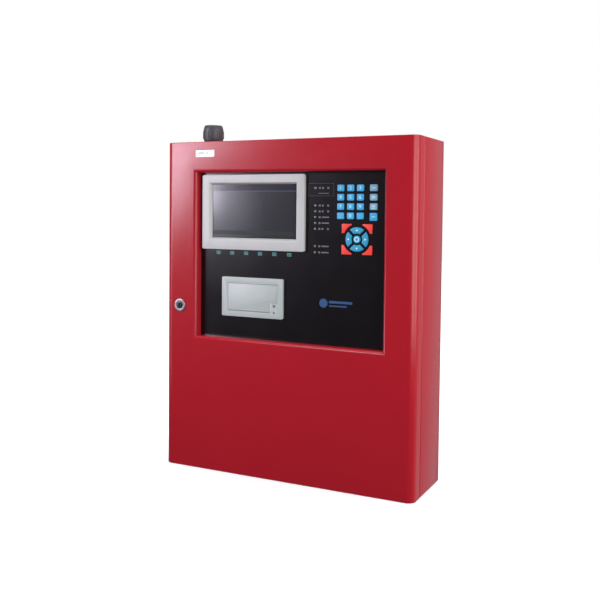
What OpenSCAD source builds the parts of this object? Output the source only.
// Fire alarm control panel: a steel wall cabinet whose hinged door carries the screen,
// keypad and panel printer. +Z is up and the front faces -Y. The origin lies on the wall
// face, at the centre of the four wall holes.

/* [Cabinet] */
// Width of the cabinet and its door
cab_w = 440; // [430:5:460]
// Height of the cabinet and its door
cab_h = 540; // [530:5:580]
// Depth from the wall to the face of the door
cab_d = 126; // [124:1:140]
// Thickness of the steel sheet
sheet = 1.5; // [1.2:0.1:1.5]
// Width of the folded lip round the mouth of the cabinet
lip = 16; // [14:0.5:16]
// How far the inner edge of the lip turns forward
collar = 10; // [6:0.5:10]
// Distance between the wall holes, side to side
wall_x = 380; // [370:5:385]
// Distance between the wall holes, top to bottom
wall_z = 440; // [420:5:460]
// Radius of the wall holes
wall_hole_r = 3.5; // [2.5:0.5:4.5]

/* [Door] */
// How far the edges of the door fold back
door_rim = 28; // [27:0.5:28]
// Gap between the rim of the door and the cabinet
seam = 2.5; // [2.5:0.5:3.5]
// Radius of the upright edges of the door
edge_r = 12; // [8:1:12]
// Clear width of the window
win_w = 329; // [326:1:332]
// Clear height of the window
win_h = 269; // [266:1:272]
// Radius of the folded edge of the window
win_r = 6; // [4:0.5:7]
// How far the fascia lies behind the face of the door
reveal = 16; // [15:0.5:16]
// Radius of the hinge pins
pin_r = 2.5; // [2:0.25:2.5]

/* [Screen] */
// Width of the screen bezel
bezel_w = 188; // [180:1:190]
// Height of the screen bezel
bezel_h = 122; // [116:1:124]
// How far the bezel stands off the fascia
bezel_rise = 6; // [4:0.5:7]
// Width of the visible glass
glass_w = 154; // [150:1:156]
// Height of the visible glass
glass_h = 86; // [82:1:88]

/* [Keys] */
// Width of a digit key
key_w = 11; // [9:0.5:11.5]
// Height of a digit key
key_h = 10; // [8:0.5:10.5]
// How far a key goes down
key_travel = 1.2; // [0.6:0.1:1.3]
// Gap round each key in the fascia
key_gap = 0.35; // [0.3:0.05:0.5]
// Outer radius of the navigation ring
ring_r = 18.5; // [17:0.5:19]

/* [Lock] */
// Radius of the flange of the lock
lock_r = 10.5; // [10:0.25:12]
// Reach of the lock's cam from its centre
cam_reach = 24; // [20:1:25]

/* [Cable gland] */
// Radius of the cable hole in the sealing ring
gland_bore_r = 9; // [6:0.5:9]
// Outer radius of the ribbed dome nut
dome_r = 18; // [17:0.5:19]

/* [Hidden] */
$fn = 48;
half_w = cab_w / 2;
half_h = cab_h / 2;
front = -cab_d;                       // face of the door
mouth = front + door_rim + seam;      // front edge of the cabinet
inner_w = half_w - sheet;
inner_h = half_h - sheet;
lip_x = inner_w - lip;                // inner edge of the lip, where the collar turns forward
lip_z = inner_h - lip;
eps = 1;                              // how far a cutter runs past a surface
beyond = 80;                          // side of a square that clears any key

win_x = 3.5;                          // centre of the window
win_z = 84.5;
lap = 10;                             // how far the fascia reaches behind the window's edge
fascia_y = front + reveal;            // front of the fascia
fascia_t = 3;
fascia_back = fascia_y + fascia_t;
board_y = fascia_back + 6;            // front of the keypad board
board_t = 1.6;
pad_lo = [38, 78];                    // corners of the keypad board
pad_hi = [163, 214];
pad_screw_x = [pad_lo[0] + 20, pad_hi[0] - 6];
pad_screw_z = [pad_lo[1] + 6, pad_hi[1] - 6];
pad_screw_r = 3;
switch_r = 3;

bezel_r = 3;
bezel_x = -61.8;
bezel_z = 155;
glass_x = -61;
glass_z = 156.8;

// keypad: three columns of digit keys and one of function keys
key_x = [92, 108.4, 124.4, 146];
key_top_z = 193.7;
key_pitch_z = 14.2;
function_key_w = 12;
last_key_extra = 2;                   // the lowest function key reaches further down
key_face = fascia_y - 1.5;            // front of a key
key_back = fascia_back + 2;           // back of a key
nav_x = 119.5;
nav_z = 115.6;
ring_in_r = ring_r - 9.5;
hub_r = ring_in_r - 3.2;
nav_half_w = 25;
nav_half_h = 23.4;
corner_start = 9;                     // where a corner key begins, from the centre
arc_gap = 4.4;                        // between neighbouring quarters of the ring
corner_gap = 4.6;                     // between the ring and the hollow of a corner key
corner_switch = [20, 18];
arc_names = ["nav_up_key", "nav_left_key", "nav_down_key", "nav_right_key"];
lamp_x = 49;
lamp_r = 1.9;
lamp_stand = 0.8;                     // how far a lens stands off the fascia
lamp_z = concat([193.8], [for (i = [0:4]) 166.7 - 9.05 * i], [103.6, 94]);

// printer
printer_x = -61.2;
printer_z = 17.5;
printer_w = 112.5;
printer_h = 64;
printer_rise = 4;
printer_front = fascia_y - printer_rise;
bay_w = 95.5;                         // outer width of the box behind the flange
bay_h = 57;
bay_depth = 48;
bay_wall = 1.5;
cover_lo = [-106, -3.6];              // hinge line end and hinge height, x and z
cover_hi = [-15, 39.5];
cover_notch = [-28.5, 11];            // corner kept free for the feed key
cover_t = 3;
cover_y = fascia_y - printer_rise / 2; // hinge axis depth
cover_gap = 0.4;
cover_pin_r = 0.8;
ear_x = [-97, -33];
ear_t = 2;
platen_y = fascia_y + 5;
platen_z = 32.5;
platen_r = 4;
shaft_r = 1.5;
paper_x = -65;
paper_y = fascia_y + 30;
paper_z = 12;
paper_r = 15;
paper_w = 57;
spindle_r = 3;
feed_x = -20.5;
feed_z = 5.8;
feed_r = 1.8;
status_z = -4.8;
status_r = 1.6;
head_y = fascia_y + 10.5;             // front of the print head bar
head_z = [28, 38];
running = 0.06;                       // radial clearance of a running fit

// lock
lock_x = -half_w + 28.5;
lock_z = -0.6;
flange_t = 2;
barrel_r = 9;
barrel_len = 26;
core_r = 6;
shank_r = 4;
key_slot = [1.6, 7.2];
cam_y = mouth + sheet + 1.5;
cam_t = 2;

// hinges: the pivot stands 20 mm behind the face and 6 mm in from the side
pivot_x = half_w - 6;
pivot_y = front + 20;
hinge_z = [-190, 190];
knuckle_r = 4;
knuckle_h = 24;
leaf_t = 2;
knuckle_gap = 0.5;

// cable gland
gland_x = -half_w + 50;
gland_y = -60;
neck_r = 12;
thread_len = 16;                      // threaded length below the top of the cabinet
gland_z = half_h;
collar_t = 5;                         // thickness of the hexagonal collar
collar_r = 15;
sleeve_r = 13;
sleeve_h = 22;
seat_h = 10;                          // height of the sealing ring's seat
seal_len = 16;
seal_wall = 2.5;
locknut_t = 6;
dome_base = 6;                        // height of the dome nut's lower edge

// chassis
plate_y0 = -14;
plate_t = 2;
plate_lo = [-165, -150];
plate_hi = [165, 245];
pcb_y = plate_y0 - 10;                // front of the main board
pcb_lo = [-150, 20];
pcb_hi = [60, 230];
standoff_x = [pcb_lo[0] + 6, (pcb_lo[0] + pcb_hi[0]) / 2, pcb_hi[0] - 6];
standoff_z = [pcb_lo[1] + 6, pcb_hi[1] - 6];
standoff_r = 3.5;
card_lo = [-140, 100];
card_hi = [-50, 190];
card_rise = 12;                       // height of the daughter board over the main board
terminal_size = 14;                   // height and depth of a row of terminals
terminal_z = 212;
mains_z = -34;
psu_lo = [75, 45];
psu_hi = [160, 235];
psu_depth = 46;
psu_y = plate_y0 - psu_depth;
psu_wall = 1.2;
vents = 10;
vent_z = 120;                         // lower edge of the lowest vent
vent_h = 4;
vent_pitch = 10;
rocker_z = 68;
rocker_x = [99, 136];
rocker_y = psu_y + 3;                 // depth of the rockers' pins
rocker_w = 12.6;
rocker_tilt = 8;
rocker_pin_r = 1;
cheek_t = 1.4;

// batteries: the common 151 x 65 x 94 mm block
bat_size = [151, 65, 94];
bat_y = -5;
bat_gap = 10;
bat_floor = -inner_h;
bat_left_x = -bat_gap / 2 - bat_size[0];
bat_right_x = bat_gap / 2;
bat_front = bat_y - bat_size[1];
bat_top = bat_floor + bat_size[2];
tab_in = 11;                          // distance of a tab from the battery's side
tab_y = bat_y - 35;
tab_foot_h = 2;
tab_h = 8;
strap_rise = 40;
strap_w = 20;
strap_t = 1.5;
lead_r = 1.6;
lead_in_x = [100, 112];               // where the leads enter the power supply
lead_run_z = [-60, -75];

// ---------- shapes used by several pieces ----------

// block between two opposite corners
module block(lo, hi) translate(lo) cube(hi - lo);

// outline in X and Z, made into a plate between two depths
module plate(y0, y1) translate([0, y1, 0]) rotate([90, 0, 0]) linear_extrude(y1 - y0) children();

// round bar along Y, X or Z
module bar_y(x, z, r, y0, y1) translate([x, y1, z]) rotate([90, 0, 0]) cylinder(h = y1 - y0, r = r);
module bar_x(y, z, r, x0, x1) translate([x0, y, z]) rotate([0, 90, 0]) cylinder(h = x1 - x0, r = r);
module bar_z(x, y, r, z0, z1) translate([x, y, z0]) cylinder(h = z1 - z0, r = r);

// rectangle with round corners
module round_rect(w, h, r) {
    square([w - 2 * r, h], center = true);
    square([w, h - 2 * r], center = true);
    for (x = [-1, 1], y = [-1, 1]) translate([x * (w / 2 - r), y * (h / 2 - r)]) circle(r);
}

// ---------- outlines of the keys, grown by a gap for their holes ----------

module key_outline(row, col, grow) {
    w = col == 4 ? function_key_w : key_w;
    extra = row == 4 && col == 4 ? last_key_extra : 0;
    translate([key_x[col - 1], key_top_z - (row - 1) * key_pitch_z - extra / 2])
        round_rect(w + 2 * grow, key_h + extra + 2 * grow, 1.5 + grow);
}

// quarter of the navigation ring: 0 is up, then anticlockwise
module arc_outline(i, grow) {
    half_gap = arc_gap / 2 - grow;
    translate([nav_x, nav_z]) rotate(45 + 90 * i) difference() {
        circle(ring_r + grow);
        circle(ring_in_r - grow);
        translate([-beyond / 2, half_gap - beyond]) square(beyond);
        translate([half_gap - beyond, -beyond / 2]) square(beyond);
    }
}

module hub_outline(grow) translate([nav_x, nav_z]) circle(hub_r + grow);

// corner of the navigation field, hollowed by the ring: 1 is top right, then anticlockwise
module corner_outline(i, grow) {
    side_x = i == 1 || i == 4 ? 1 : -1;
    side_z = i <= 2 ? 1 : -1;
    translate([nav_x, nav_z]) scale([side_x, side_z]) difference() {
        translate([corner_start - grow, corner_start - grow])
            square([nav_half_w - corner_start + 2 * grow, nav_half_h - corner_start + 2 * grow]);
        circle(ring_r + corner_gap - grow);
    }
}

// a key is a cap with a collar behind the fascia that keeps it in
module capped() {
    plate(key_face, key_back) children(0);
    plate(fascia_back + 0.4, key_back) children(1);
}

// ---------- cabinet ----------

module cabinet_shell() color("firebrick") difference() {
    union() {
        block([-half_w, mouth, -half_h], [half_w, 0, half_h]);
        block([-lip_x, mouth - collar, -lip_z], [lip_x, mouth, lip_z]);
    }
    block([-inner_w, mouth + sheet, -inner_h], [inner_w, -sheet, inner_h]);
    // mouth inside the collar
    block([-lip_x + sheet, mouth - collar - eps, -lip_z + sheet],
          [lip_x - sheet, mouth + sheet + eps, lip_z - sheet]);
    for (x = [-1, 1], z = [-1, 1])
        bar_y(x * wall_x / 2, z * wall_z / 2, wall_hole_r, -sheet - eps, eps);
    bar_z(gland_x, gland_y, neck_r, inner_h - eps, half_h + eps);
}

// goose-neck brackets: behind the lip, round its edge and forward to the knuckle
module hinge_brackets() color("silver") for (z = hinge_z) {
    neck_x = lip_x - sheet - 0.5;
    difference() {
        union() {
            bar_z(pivot_x, pivot_y, knuckle_r, z - knuckle_h, z);
            block([neck_x - leaf_t, pivot_y - 3, z - knuckle_h], [pivot_x - 2, pivot_y - 1, z]);
            block([neck_x - leaf_t, pivot_y - 3, z - knuckle_h], [neck_x, mouth + sheet + leaf_t, z]);
            block([neck_x - leaf_t, mouth + sheet, z - knuckle_h],
                  [inner_w - 3, mouth + sheet + leaf_t, z]);
        }
        bar_z(pivot_x, pivot_y, pin_r, z - knuckle_h - eps, z + eps);
    }
}

module hinge_pins() color("silver") for (z = hinge_z)
    bar_z(pivot_x, pivot_y, pin_r, z - knuckle_h, z + knuckle_h);

module earth_stud() color("gold") {
    x = -half_w + 24;
    z = -150;
    nut_r = 5.8;
    nut_t = 5;
    washer_r = 6;
    inner_y = -3;                     // front of the washer on the wall
    outer_y = inner_y - nut_t - 1.2;  // front of the washer under the second nut
    bar_y(x, z, 3, -20, -sheet);
    bar_y(x, z, washer_r, inner_y, -sheet);
    bar_y(x, z, washer_r, outer_y, inner_y - nut_t);
    for (y = [inner_y, outer_y]) translate([x, y, z]) rotate([90, 0, 0])
        cylinder(h = nut_t, r = nut_r, $fn = 6);
}

// ---------- cable gland ----------

module gland_body() color("dimgray") difference() {
    union() {
        bar_z(gland_x, gland_y, neck_r, gland_z - thread_len, gland_z);
        translate([gland_x, gland_y, gland_z]) cylinder(h = collar_t, r = collar_r, $fn = 6);
        bar_z(gland_x, gland_y, sleeve_r, gland_z + collar_t, gland_z + sleeve_h);
    }
    bar_z(gland_x, gland_y, gland_bore_r + 0.5, gland_z - thread_len - eps, gland_z + seat_h + eps);
    bar_z(gland_x, gland_y, gland_bore_r + seal_wall, gland_z + seat_h, gland_z + sleeve_h + eps);
}

module gland_locknut() color("dimgray") difference() {
    translate([gland_x, gland_y, inner_h - locknut_t]) cylinder(h = locknut_t, r = 18, $fn = 6);
    bar_z(gland_x, gland_y, neck_r, inner_h - locknut_t - eps, inner_h + eps);
}

module gland_seal() color("black") difference() {
    top = gland_z + seat_h + seal_len;
    bar_z(gland_x, gland_y, gland_bore_r + seal_wall, gland_z + seat_h, top);
    bar_z(gland_x, gland_y, gland_bore_r, gland_z + seat_h - eps, top + eps);
}

module gland_dome_nut() color("dimgray") translate([gland_x, gland_y, gland_z + dome_base]) difference() {
    skirt_r = dome_r - 1;
    skirt_h = 18;
    taper_h = 4;
    rib_in = 0.6;                     // each rib stops this short of the skirt's ends
    cap_h = 9;
    ribs = 20;
    union() {
        cylinder(h = taper_h, r1 = skirt_r - 1.4, r2 = skirt_r);
        translate([0, 0, taper_h]) cylinder(h = skirt_h - taper_h, r = skirt_r);
        translate([0, 0, skirt_h]) intersection() {
            sphere(skirt_r);
            cylinder(h = cap_h, r = dome_r);
        }
        for (i = [0:ribs - 1]) rotate(360 / ribs * i) translate([skirt_r, 0, taper_h + rib_in])
            cylinder(h = skirt_h - taper_h - 2 * rib_in, r = 1, $fn = 16);
    }
    // room for the sleeve, then for the sealing ring, then the hole for the cable
    translate([0, 0, -eps]) cylinder(h = sleeve_h - dome_base + eps, r = sleeve_r);
    translate([0, 0, -eps])
        cylinder(h = seat_h + seal_len - dome_base + 1 + eps, r = gland_bore_r + seal_wall);
    cylinder(h = skirt_h + cap_h + eps, r = gland_bore_r + 0.5);
}

// ---------- chassis and electronics ----------

// pan with both sides turned back to the wall of the cabinet
module mounting_plate() color("gainsboro") {
    block([plate_lo[0], plate_y0, plate_lo[1]], [plate_hi[0], plate_y0 + plate_t, plate_hi[1]]);
    for (x = [plate_lo[0], plate_hi[0] - plate_t])
        block([x, plate_y0, plate_lo[1]], [x + plate_t, -sheet, plate_hi[1]]);
}

module board_standoffs() color("gold") for (x = standoff_x, z = standoff_z)
    bar_y(x, z, standoff_r, pcb_y + board_t, plate_y0);

module main_board() color("darkgreen")
    block([pcb_lo[0], pcb_y, pcb_lo[1]], [pcb_hi[0], pcb_y + board_t, pcb_hi[1]]);

// daughter board on two pin headers
module loop_card() color("seagreen") {
    y = pcb_y - card_rise;
    header_in = 6;
    header_h = 8;
    block([card_lo[0], y, card_lo[1]], [card_hi[0], y + board_t, card_hi[1]]);
    for (z = [card_lo[1] + 4, card_hi[1] - 4 - header_h])
        block([card_lo[0] + header_in, y + board_t, z], [card_hi[0] - header_in, pcb_y, z + header_h]);
}

// row of screw terminals, wire holes below, screws in front
module terminal_row(x0, count, pitch, z, y_back) difference() {
    hole_r = 0.28 * pitch;
    row_front = y_back - terminal_size;
    block([x0, row_front, z], [x0 + count * pitch, y_back, z + terminal_size]);
    for (i = [0:count - 1]) {
        x = x0 + (i + 0.5) * pitch;
        bar_y(x, z + terminal_size / 2, hole_r, row_front - eps, row_front + 3);
        bar_z(x, y_back - 5, hole_r, z - eps, z + 5);
    }
}

module terminal_blocks() color("green") {
    signal_pitch = 7.5;
    mains_pitch = 11;
    terminal_row(-144, 12, signal_pitch, terminal_z, pcb_y);
    terminal_row(-40, 8, signal_pitch, terminal_z, pcb_y);
    terminal_row(-20, 6, mains_pitch, mains_z, plate_y0);
}

module rocker_cheek(x) for (side = [-1, 1]) difference() {
    x0 = x + side * (rocker_w / 2 + 0.4 + cheek_t / 2);
    block([x0 - cheek_t / 2, psu_y + psu_wall, rocker_z - 8], [x0 + cheek_t / 2, psu_y + 8, rocker_z + 8]);
    bar_x(rocker_y, rocker_z, rocker_pin_r + running, x0 - cheek_t, x0 + cheek_t);
}

module power_supply_case() color("lightgray") {
    difference() {
        block([psu_lo[0], psu_y, psu_lo[1]], [psu_hi[0], plate_y0, psu_hi[1]]);
        block([psu_lo[0] + psu_wall, psu_y + psu_wall, psu_lo[1] + psu_wall],
              [psu_hi[0] - psu_wall, plate_y0 - psu_wall, psu_hi[1] - psu_wall]);
        for (x = rocker_x)
            block([x - rocker_w / 2 - 0.4, psu_y - eps, rocker_z - 10.4],
                  [x + rocker_w / 2 + 0.4, psu_y + psu_wall + eps, rocker_z + 10.4]);
        // vents
        for (i = [0:vents - 1]) let (z = vent_z + vent_pitch * i)
            block([psu_lo[0] + 16, psu_y - eps, z], [psu_hi[0] - 16, psu_y + psu_wall + eps, z + vent_h]);
    }
    for (x = rocker_x) rocker_cheek(x);
}

// rocker with a shallow V face, stored tipped to its off side
module rocker(x) color("black") translate([x, rocker_y, rocker_z]) rotate([rocker_tilt, 0, 0]) {
    translate([-rocker_w / 2, 0, 0]) rotate([90, 0, 90]) linear_extrude(rocker_w)
        polygon([[2, -9], [2, 9], [-5.5, 9], [-4, 0], [-5.5, -9]]);
    bar_x(0, 0, rocker_pin_r, -rocker_w / 2 - 1.8, rocker_w / 2 + 1.8);
}

module battery(x) color("darkslategray") {
    lo = [x, bat_y - bat_size[1], bat_floor];
    block(lo, lo + bat_size);
    for (tab_x = [x + tab_in, x + bat_size[0] - tab_in]) {
        block([tab_x - 5, tab_y - 5, bat_top], [tab_x + 5, tab_y + 5, bat_top + tab_foot_h]);
        block([tab_x - 3, tab_y - 0.4, bat_top + tab_foot_h], [tab_x + 3, tab_y + 0.4, bat_top + tab_h]);
    }
}

// steel strap round the front of both batteries, screwed to the back of the cabinet
module battery_strap() color("gainsboro") for (side = [-1, 1]) {
    x = bat_right_x + bat_size[0] + 1;
    foot = 16;
    z0 = bat_floor + strap_rise;
    z1 = z0 + strap_w;
    strap_y = bat_front - 0.5 - strap_t;
    block([-x - strap_t, strap_y, z0], [x + strap_t, strap_y + strap_t, z1]);
    difference() {
        union() {
            block([min(side * x, side * (x + strap_t)), strap_y, z0],
                  [max(side * x, side * (x + strap_t)), -sheet, z1]);
            block([min(side * x, side * (x + foot)), -sheet - strap_t, z0],
                  [max(side * x, side * (x + foot)), -sheet, z1]);
        }
        bar_y(side * (x + 9), (z0 + z1) / 2, 2.2, -sheet - 2 * strap_t, -sheet + eps);
    }
}

// route with each corner turned into a short curve
function eased(points, reach) = concat([points[0]],
    [for (i = [1:len(points) - 2], k = [0:3]) let (
        t = k / 3,
        p = points[i],
        a = p + reach * unit(points[i - 1] - p),
        b = p + reach * unit(points[i + 1] - p)
    ) (1 - t) * (1 - t) * a + 2 * t * (1 - t) * p + t * t * b],
    [points[len(points) - 1]]);
function unit(v) = v / norm(v);
function heading(p, i) = unit(p[min(i + 1, len(p) - 1)] - p[max(i - 1, 0)]);
// side directions carried along the route without twist
function sides(p, i, last) = i == len(p) ? [] :
    let (h = heading(p, i), n = unit(last - (last * h) * h)) concat([n], sides(p, i + 1, n));

// tube of eight sides along a route that starts straight up
module lead(points) {
    p = eased(points, 3 * lead_r);
    n = sides(p, 0, [1, 0, 0]);
    count = len(p);
    ring = [for (i = [0:count - 1], k = [0:7]) let (b = cross(heading(p, i), n[i]))
        p[i] + lead_r * (cos(45 * k) * n[i] + sin(45 * k) * b)];
    walls = [for (i = [0:count - 2], k = [0:7]) let (j = (k + 1) % 8)
        [8 * i + k, 8 * i + 8 + k, 8 * i + 8 + j, 8 * i + j]];
    start = [for (k = [0:7]) k];
    end = [for (k = [7:-1:0]) 8 * (count - 1) + k];
    polyhedron(ring, concat([start], walls, [end]), convexity = 4);
}

// supply leads to the power supply and the link between the batteries
module battery_leads() {
    tab_z = bat_top + tab_h;
    left_plus = bat_left_x + tab_in;
    left_minus = bat_left_x + bat_size[0] - tab_in;
    right_plus = bat_right_x + tab_in;
    right_minus = bat_right_x + bat_size[0] - tab_in;
    run_y = plate_y0 - 4;
    color("red") lead([[left_plus, tab_y, tab_z], [left_plus, tab_y, tab_z + 10],
        [left_plus, run_y, tab_z + 14], [left_plus, run_y, lead_run_z[0]],
        [lead_in_x[0], run_y, lead_run_z[0]], [lead_in_x[0], run_y, psu_lo[1]]]);
    color("black") lead([[right_minus, tab_y, tab_z], [right_minus, tab_y, tab_z + 10],
        [right_minus, run_y, tab_z + 14], [right_minus, run_y, lead_run_z[1]],
        [lead_in_x[1], run_y, lead_run_z[1]], [lead_in_x[1], run_y, psu_lo[1]]]);
    color("black") lead([[left_minus, tab_y, tab_z], [left_minus, tab_y, tab_z + 8],
        [right_plus, tab_y, tab_z + 8], [right_plus, tab_y, tab_z]]);
}

// ---------- door ----------

// outline of the door seen from above, with round front corners
module door_plan(inset, back) {
    translate([-half_w + inset, front + edge_r]) square([cab_w - 2 * inset, back - front - edge_r]);
    translate([-half_w + edge_r, front + inset]) square([cab_w - 2 * edge_r, edge_r]);
    for (side = [-1, 1]) translate([side * (half_w - edge_r), front + edge_r]) circle(edge_r - inset);
}

// section of the window's edge: a bend, then a wall back to the fascia
module window_section() {
    difference() {
        intersection() {
            translate([win_r, win_r]) circle(win_r);
            square(win_r);
        }
        translate([win_r, win_r]) circle(win_r - sheet);
    }
    translate([win_r, 0]) square([reveal - win_r, sheet]);
    translate([0, win_r]) square([sheet, 1]);
}

// one mitred side of the window's edge, lying along the top
module window_side(length) {
    reach = win_r + 1;
    intersection() {
        translate([-length / 2 - reach, 0, 0]) rotate([90, 0, 90])
            linear_extrude(length + 2 * reach) window_section();
        plate(-eps, reveal + eps) polygon([[-length / 2, 0], [length / 2, 0],
            [length / 2 + reach, reach], [-length / 2 - reach, reach]]);
    }
}

module door_shell() color("firebrick") {
    difference() {
        translate([0, 0, -half_h]) linear_extrude(cab_h) door_plan(0, front + door_rim);
        translate([0, 0, -inner_h]) linear_extrude(2 * inner_h) door_plan(sheet, front + door_rim + eps);
        translate([win_x, 0, win_z]) plate(front - eps, front + sheet + eps)
            square([win_w + 2 * win_r, win_h + 2 * win_r], center = true);
        bar_y(lock_x, lock_z, barrel_r, front - eps, front + sheet + eps);
    }
    translate([win_x, front, win_z]) for (i = [0:3]) rotate([0, 90 * i, 0])
        translate([0, 0, (i % 2 == 0 ? win_h : win_w) / 2]) window_side(i % 2 == 0 ? win_w : win_h);
}

// leaves welded inside the rim, with knuckles that drop over the pins
module door_hinge_leaves() color("silver") for (z = hinge_z) difference() {
    union() {
        block([half_w - sheet - leaf_t, front + edge_r + 0.5, z + knuckle_gap],
              [half_w - sheet, front + door_rim - 1, z + knuckle_gap + knuckle_h]);
        bar_z(pivot_x, pivot_y, knuckle_r, z + knuckle_gap, z + knuckle_gap + knuckle_h);
    }
    bar_z(pivot_x, pivot_y, pin_r + running, z - eps, z + knuckle_h + 2);
}

module fascia_plate() color("black") {
    difference() {
        plate(fascia_y, fascia_back) difference() {
            translate([win_x, win_z]) square([win_w + 2 * lap, win_h + 2 * lap], center = true);
            translate([glass_x, glass_z]) square([glass_w + 8, glass_h + 8], center = true);
            translate([printer_x, printer_z]) square([bay_w, bay_h], center = true);
            for (row = [1:4], col = [1:4]) key_outline(row, col, key_gap);
            for (i = [0:3]) arc_outline(i, key_gap);
            for (i = [1:4]) corner_outline(i, key_gap);
            hub_outline(key_gap);
        }
        for (z = lamp_z) bar_y(lamp_x, z, lamp_r, fascia_y - eps, fascia_back + eps);
    }
    for (x = pad_screw_x, z = pad_screw_z) bar_y(x, z, pad_screw_r, fascia_back, board_y);
}

module lcd_bezel() color("lightgray") plate(fascia_y - bezel_rise, fascia_y) difference() {
    translate([bezel_x, bezel_z]) round_rect(bezel_w, bezel_h, bezel_r);
    translate([glass_x, glass_z]) square([glass_w, glass_h], center = true);
}

module lcd_panel() color("dimgray") {
    translate([glass_x, 0, glass_z]) plate(fascia_y, fascia_back)
        square([glass_w + 4, glass_h + 4], center = true);
    translate([glass_x, 0, glass_z]) plate(fascia_back, fascia_back + 8)
        square([glass_w + 16, glass_h + 16], center = true);
}

// board with a switch behind every key
module keypad_board() color("darkgreen") {
    switch_y = key_back + key_travel + 0.3;
    arc_mid_r = (ring_r + ring_in_r) / 2;
    block([pad_lo[0], board_y, pad_lo[1]], [pad_hi[0], board_y + board_t, pad_hi[1]]);
    for (row = [1:4], col = [1:4])
        bar_y(key_x[col - 1], key_top_z - (row - 1) * key_pitch_z, switch_r, switch_y, board_y);
    for (turn = [0:90:270])
        bar_y(nav_x + arc_mid_r * cos(turn), nav_z + arc_mid_r * sin(turn), switch_r, switch_y, board_y);
    for (x = [-1, 1], z = [-1, 1])
        bar_y(nav_x + x * corner_switch[0], nav_z + z * corner_switch[1], switch_r - 0.5, switch_y, board_y);
    bar_y(nav_x, nav_z, switch_r, switch_y, board_y);
}

module indicator_lenses() color("palegreen") {
    for (z = lamp_z) {
        bar_y(lamp_x, z, lamp_r, fascia_y - lamp_stand, fascia_back);
        bar_y(lamp_x, z, lamp_r + 0.8, fascia_back, fascia_back + 1.5);
    }
    bar_y(feed_x, status_z, status_r, printer_front - 0.5, fascia_y);
}

module digit_key(row, col) color(col == 4 ? "lightsteelblue" : "deepskyblue") capped() {
    key_outline(row, col, 0);
    key_outline(row, col, 0.9);
}

module arc_key(i) color("deepskyblue") capped() {
    arc_outline(i, 0);
    arc_outline(i, 0.6);
}

module nav_centre_key() color("deepskyblue") capped() {
    hub_outline(0);
    hub_outline(0.9);
}

module corner_key(i) color("tomato") capped() {
    corner_outline(i, 0);
    corner_outline(i, 0.6);
}

// ---------- lock ----------

module lock_housing() color("silver") difference() {
    union() {
        bar_y(lock_x, lock_z, lock_r, front - flange_t, front);
        bar_y(lock_x, lock_z, barrel_r, front, front + barrel_len);
    }
    bar_y(lock_x, lock_z, core_r + running, front - flange_t - eps, front + barrel_len + eps);
}

module lock_core() color("gray") difference() {
    union() {
        bar_y(lock_x, lock_z, core_r, front - flange_t - 0.3, front + barrel_len + 0.5);
        bar_y(lock_x, lock_z, shank_r, front + barrel_len + 0.5, cam_y + cam_t + 1.5);
    }
    block([lock_x - key_slot[0] / 2, front - flange_t - eps, lock_z - key_slot[1] / 2],
          [lock_x + key_slot[0] / 2, front + 2, lock_z + key_slot[1] / 2]);
}

// stored pointing down, clear of the lip; a quarter turn takes it behind the lip
module lock_cam() color("silver") plate(cam_y, cam_y + cam_t) difference() {
    cam_half = 6;
    translate([lock_x, lock_z]) union() {
        circle(cam_half + 1);
        translate([-cam_half, cam_half - cam_reach]) square([2 * cam_half, cam_reach - cam_half]);
        translate([0, cam_half - cam_reach]) circle(cam_half);
    }
    translate([lock_x, lock_z]) circle(shank_r);
}

// ---------- printer ----------

// outline of the cover, grown by a gap for its opening
module cover_outline(grow, low) polygon([
    [cover_lo[0] - grow, low], [cover_notch[0] + grow, low],
    [cover_notch[0] + grow, cover_notch[1] - grow], [cover_hi[0] + grow, cover_notch[1] - grow],
    [cover_hi[0] + grow, cover_hi[1] + grow], [cover_lo[0] - grow, cover_hi[1] + grow]]);

module printer_housing() color("gainsboro") {
    bay_back = fascia_y + bay_depth;
    difference() {
        union() {
            translate([printer_x, 0, printer_z]) plate(printer_front, fascia_y)
                round_rect(printer_w, printer_h, 2.5);
            translate([printer_x, 0, printer_z]) plate(fascia_y, bay_back)
                square([bay_w, bay_h], center = true);
        }
        translate([printer_x, 0, printer_z]) plate(fascia_y, bay_back - bay_wall)
            square([bay_w - 2 * bay_wall, bay_h - 2 * bay_wall], center = true);
        plate(printer_front - eps, fascia_y + eps)
            cover_outline(cover_gap, cover_lo[1] - cover_t / 2 - cover_gap);
        // hinge holes beside the cover
        bar_x(cover_y, cover_lo[1], cover_pin_r + running, cover_lo[0] - 2.5, cover_notch[0] + 2.5);
        // spindle holes
        bar_x(paper_y, paper_z, spindle_r + running, printer_x - bay_w, printer_x + bay_w);
        bar_y(feed_x, feed_z, feed_r + 0.3, printer_front - eps, fascia_y + eps);
        bar_y(feed_x, status_z, status_r, printer_front - eps, fascia_y + eps);
    }
    // print head bar behind the platen
    block([printer_x - bay_w / 2 + 1, head_y, head_z[0]], [printer_x + bay_w / 2 - 1, head_y + 3, head_z[1]]);
}

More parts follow.
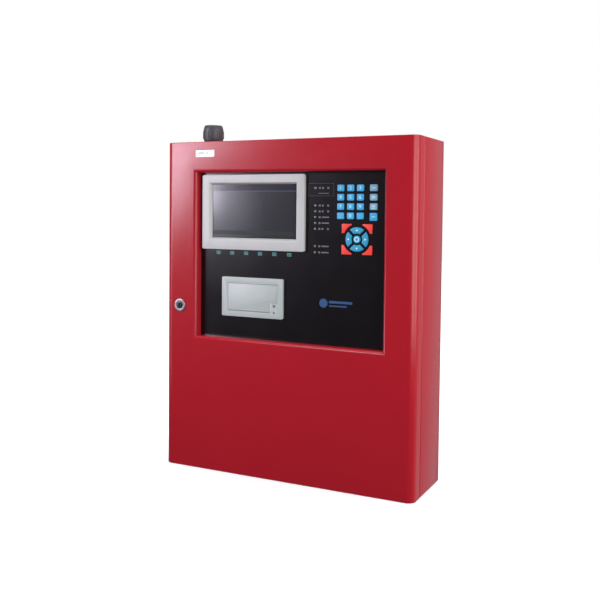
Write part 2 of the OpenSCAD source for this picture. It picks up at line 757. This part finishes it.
module printer_cover() color("whitesmoke") difference() {
    union() {
        plate(cover_y - cover_t / 2, cover_y + cover_t / 2) cover_outline(0, cover_lo[1]);
        bar_x(cover_y, cover_lo[1], cover_t / 2, cover_lo[0], cover_notch[0]);
        bar_x(cover_y, cover_lo[1], cover_pin_r, cover_lo[0] - 2, cover_notch[0] + 2);
        for (x = ear_x) block([x - ear_t / 2, cover_y, 24], [x + ear_t / 2, fascia_y + 8.5, 36.5]);
    }
    for (x = ear_x) bar_x(platen_y, platen_z, shaft_r + running, x - ear_t, x + ear_t);
}

module platen_roller() color("dimgray") {
    bar_x(platen_y, platen_z, platen_r, ear_x[0] + 1.5, ear_x[1] - 1.5);
    bar_x(platen_y, platen_z, shaft_r, ear_x[0] - 2.5, ear_x[1] + 2.5);
}

module paper_roll() color("white") {
    bar_x(paper_y, paper_z, paper_r, paper_x - paper_w / 2, paper_x + paper_w / 2);
    bar_x(paper_y, paper_z, spindle_r, printer_x - bay_w / 2 - 0.5, printer_x + bay_w / 2 + 0.5);
}

module printer_feed_key() color("dimgray") {
    bar_y(feed_x, feed_z, feed_r, printer_front - 0.8, fascia_y + 2);
    bar_y(feed_x, feed_z, feed_r + 0.8, fascia_y + 0.4, fascia_y + 2);
}

// ---------- nodes ----------

cabinet_shell();
hinge_brackets();
hinge_pins();
gland_body();
gland_locknut();
gland_seal();
gland_dome_nut();
mounting_plate();
board_standoffs();
main_board();
loop_card();
terminal_blocks();
power_supply_case();
rocker(rocker_x[0]);  // mains_rocker
rocker(rocker_x[1]);  // battery_rocker
battery(bat_left_x);  // battery_left
battery(bat_right_x);  // battery_right
battery_strap();
battery_leads();
earth_stud();
door_shell();
door_hinge_leaves();
fascia_plate();
lcd_bezel();
lcd_panel();
keypad_board();
indicator_lenses();
lock_housing();
lock_core();
lock_cam();
printer_housing();
printer_cover();
platen_roller();
paper_roll();
printer_feed_key();
for (row = [1:4], col = [1:4])
    digit_key(row, col);
for (i = [0:3]) arc_key(i);
nav_centre_key();
for (i = [1:4]) corner_key(i);
